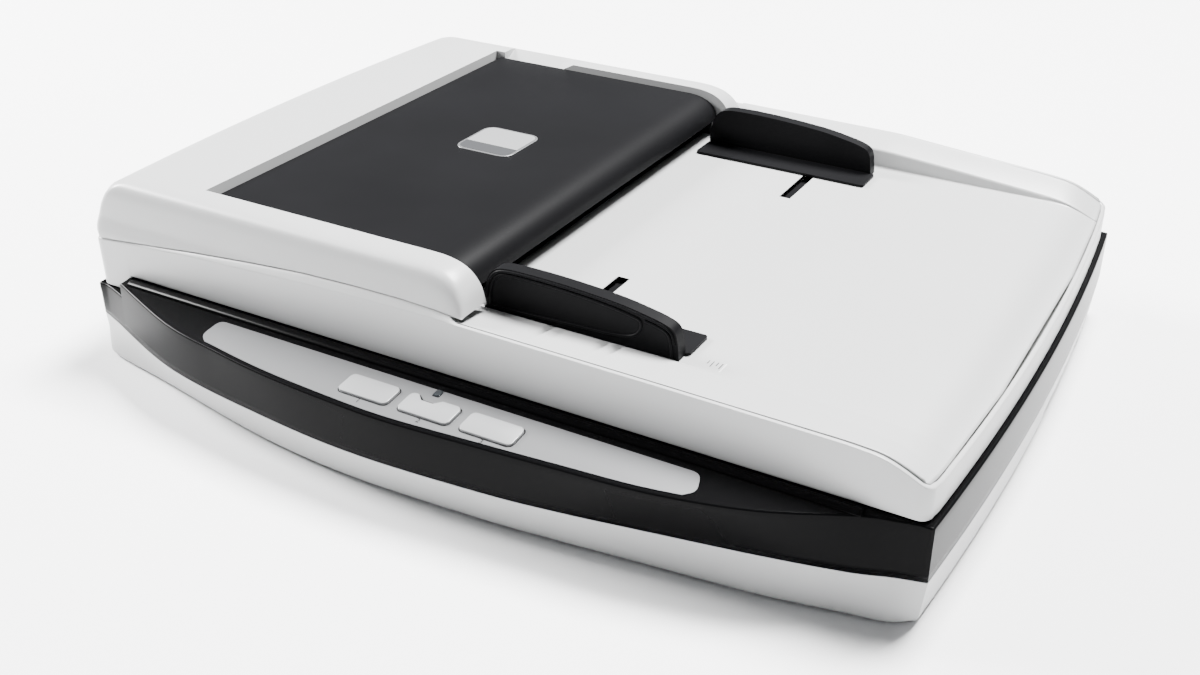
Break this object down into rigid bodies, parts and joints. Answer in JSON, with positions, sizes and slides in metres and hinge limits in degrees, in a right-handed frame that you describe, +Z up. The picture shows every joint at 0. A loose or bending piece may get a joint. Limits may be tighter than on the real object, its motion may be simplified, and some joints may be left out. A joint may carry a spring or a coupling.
{
  "type": "flatbed scanner with document feeder",
  "caption": "Low flatbed scanner with a bowed black front, sloping key panel and a hinged white lid that carries a sheet feeder under a black cover, with sliding paper guides in its tray.",
  "frame": {"origin": "on the table under the middle of the whole scanner's bounding box", "axes": "+X to the right as seen from the front with the keys, +Y to the back where the lid is hinged, +Z up"},
  "size_m": [0.437, 0.329, 0.0918],
  "materials": {
    "tray_white": "satin light grey-white",
    "lid_white": "satin light grey-white",
    "band_black": "satin-gloss black",
    "cover_black": "satin, fine grain",
    "panel_silver": "satin silver paint",
    "key_grey": "satin light grey",
    "lens_dark": "gloss dark lens",
    "clear_glass": "polished",
    "pad_white": "matte white",
    "inner_black": "matte black",
    "bright_steel": "satin steel",
    "black_rubber": "matte",
    "roller_rubber": "matte grey",
    "board_green": "green circuit board",
    "gear_white": "natural white plastic"
  },
  "bodies": {
    "base": {"base_tray": "tray_white", "base_frame": "band_black", "control_panel": "panel_silver", "status_light": "lens_dark", "flatbed_glass": "clear_glass", "feeder_glass": "clear_glass", "foot_1": "black_rubber", "foot_2": "black_rubber", "foot_3": "black_rubber", "foot_4": "black_rubber", "guide_rod": "bright_steel", "drive_motor": "bright_steel", "drive_belt": "black_rubber", "main_board": "board_green", "power_socket": "inner_black", "usb_socket": "bright_steel", "switch_bezel": "inner_black"},
    "key_one": {"key_1": "key_grey"},
    "key_two": {"key_2": "key_grey"},
    "key_three": {"key_3": "key_grey"},
    "power_button": {"switch_button": "inner_black"},
    "carriage": {"scan_carriage": "inner_black", "carriage_lamp": "lens_dark"},
    "drive_pulley": {"motor_pulley": "gear_white"},
    "return_pulley": {"idler_pulley": "gear_white"},
    "hinge_posts": {"hinge_post_left": "inner_black", "hinge_post_right": "inner_black"},
    "lid": {"lid_shell": "lid_white", "document_pad": "pad_white", "pad_plate": "lid_white", "adf_housing": "lid_white", "cover_pin": "bright_steel", "hinge_pin_left": "bright_steel", "hinge_pin_right": "bright_steel", "adf_chassis": "inner_black", "feeder_belt": "black_rubber", "press_plate": "pad_white", "separation_pad": "roller_rubber", "feeder_motor": "bright_steel"},
    "feeder_cover": {"adf_cover": "cover_black", "cover_badge": "panel_silver"},
    "guide_front": {"paper_guide_front": "cover_black"},
    "guide_back": {"paper_guide_back": "cover_black"},
    "pinion": {"guide_pinion": "gear_white"},
    "feed_line": {"feed_shaft": "bright_steel", "feed_pulley": "gear_white", "feed_roller_1": "roller_rubber"},
    "move_line": {"move_shaft": "bright_steel", "move_pulley": "gear_white", "move_roller_1": "roller_rubber", "move_roller_2": "roller_rubber"},
    "exit_line": {"exit_shaft": "bright_steel", "exit_pulley": "gear_white", "exit_roller_1": "roller_rubber", "exit_roller_2": "roller_rubber"},
    "pickup_arm": {"pickup_arm": "inner_black"},
    "pickup_roller": {"pickup_roller": "roller_rubber"}
  },
  "joints": [
    {"name": "posts_lift", "type": "slide", "parent": "base", "child": "hinge_posts", "axis": [0, 0, 1], "range_m": [0, 0.012]},
    {"name": "lid_hinge", "type": "hinge", "parent": "hinge_posts", "child": "lid", "pos_m": [0, 0.15142, 0.0564], "axis": [-1, 0, 0], "range_deg": [0, 80]},
    {"name": "cover_hinge", "type": "hinge", "parent": "lid", "child": "feeder_cover", "pos_m": [-0.1458, 0, 0.0842], "axis": [0, -1, 0], "range_deg": [0, 70]},
    {"name": "guide_front_slide", "type": "slide", "parent": "lid", "child": "guide_front", "axis": [0, 1, 0], "range_m": [0, 0.048]},
    {"name": "guide_back_slide", "type": "slide", "parent": "lid", "child": "guide_back", "axis": [0, 1, 0], "range_m": [-0.048, 0]},
    {"name": "pinion_spin", "type": "hinge", "parent": "lid", "child": "pinion", "pos_m": [0.052, 0.01412, 0.0627], "axis": [0, 0, 1], "range_deg": [-310, 0]},
    {"name": "key_one_press", "type": "slide", "parent": "base", "child": "key_one", "axis": [0, 0.1119, -0.9937], "range_m": [0, 0.001], "stiffness_N_per_m": 300, "springref_m": -0.001},
    {"name": "key_two_press", "type": "slide", "parent": "base", "child": "key_two", "axis": [0, 0.1119, -0.9937], "range_m": [0, 0.001], "stiffness_N_per_m": 300, "springref_m": -0.001},
    {"name": "key_three_press", "type": "slide", "parent": "base", "child": "key_three", "axis": [0, 0.1119, -0.9937], "range_m": [0, 0.001], "stiffness_N_per_m": 300, "springref_m": -0.001},
    {"name": "power_button_press", "type": "slide", "parent": "base", "child": "power_button", "axis": [0, -1, 0], "range_m": [0, 0.0015], "stiffness_N_per_m": 400, "springref_m": -0.001},
    {"name": "carriage_slide", "type": "slide", "parent": "base", "child": "carriage", "axis": [1, 0, 0], "range_m": [0, 0.3]},
    {"name": "drive_pulley_spin", "type": "hinge", "parent": "base", "child": "drive_pulley", "pos_m": [-0.184, 0.10472, 0.0094], "axis": [0, 0, 1], "continuous": true},
    {"name": "return_pulley_spin", "type": "hinge", "parent": "base", "child": "return_pulley", "pos_m": [0.186, 0.10472, 0.0094], "axis": [0, 0, 1], "continuous": true},
    {"name": "feed_spin", "type": "hinge", "parent": "lid", "child": "feed_line", "pos_m": [-0.054, 0, 0.0736], "axis": [0, 1, 0], "continuous": true},
    {"name": "move_spin", "type": "hinge", "parent": "lid", "child": "move_line", "pos_m": [-0.102, 0, 0.064], "axis": [0, 1, 0], "continuous": true},
    {"name": "exit_spin", "type": "hinge", "parent": "lid", "child": "exit_line", "pos_m": [-0.168, 0, 0.0648], "axis": [0, 1, 0], "continuous": true},
    {"name": "pickup_lift", "type": "hinge", "parent": "lid", "child": "pickup_arm", "pos_m": [-0.054, 0, 0.0736], "axis": [0, -1, 0], "range_deg": [0, 6]},
    {"name": "pickup_spin", "type": "hinge", "parent": "pickup_arm", "child": "pickup_roller", "pos_m": [-0.026, 0, 0.0712], "axis": [0, 1, 0], "continuous": true}
  ],
  "couplings": [
    {"joint": "guide_back_slide", "follows": "guide_front_slide", "ratio": -1},
    {"joint": "pinion_spin", "follows": "guide_front_slide", "rad_per_m": -111.11},
    {"joint": "drive_pulley_spin", "follows": "carriage_slide", "rad_per_m": 147.06},
    {"joint": "return_pulley_spin", "follows": "carriage_slide", "rad_per_m": 147.06},
    {"joint": "move_spin", "follows": "feed_spin", "ratio": 1},
    {"joint": "exit_spin", "follows": "feed_spin", "ratio": 1},
    {"joint": "pickup_spin", "follows": "feed_spin", "ratio": 1.2857}
  ]
}
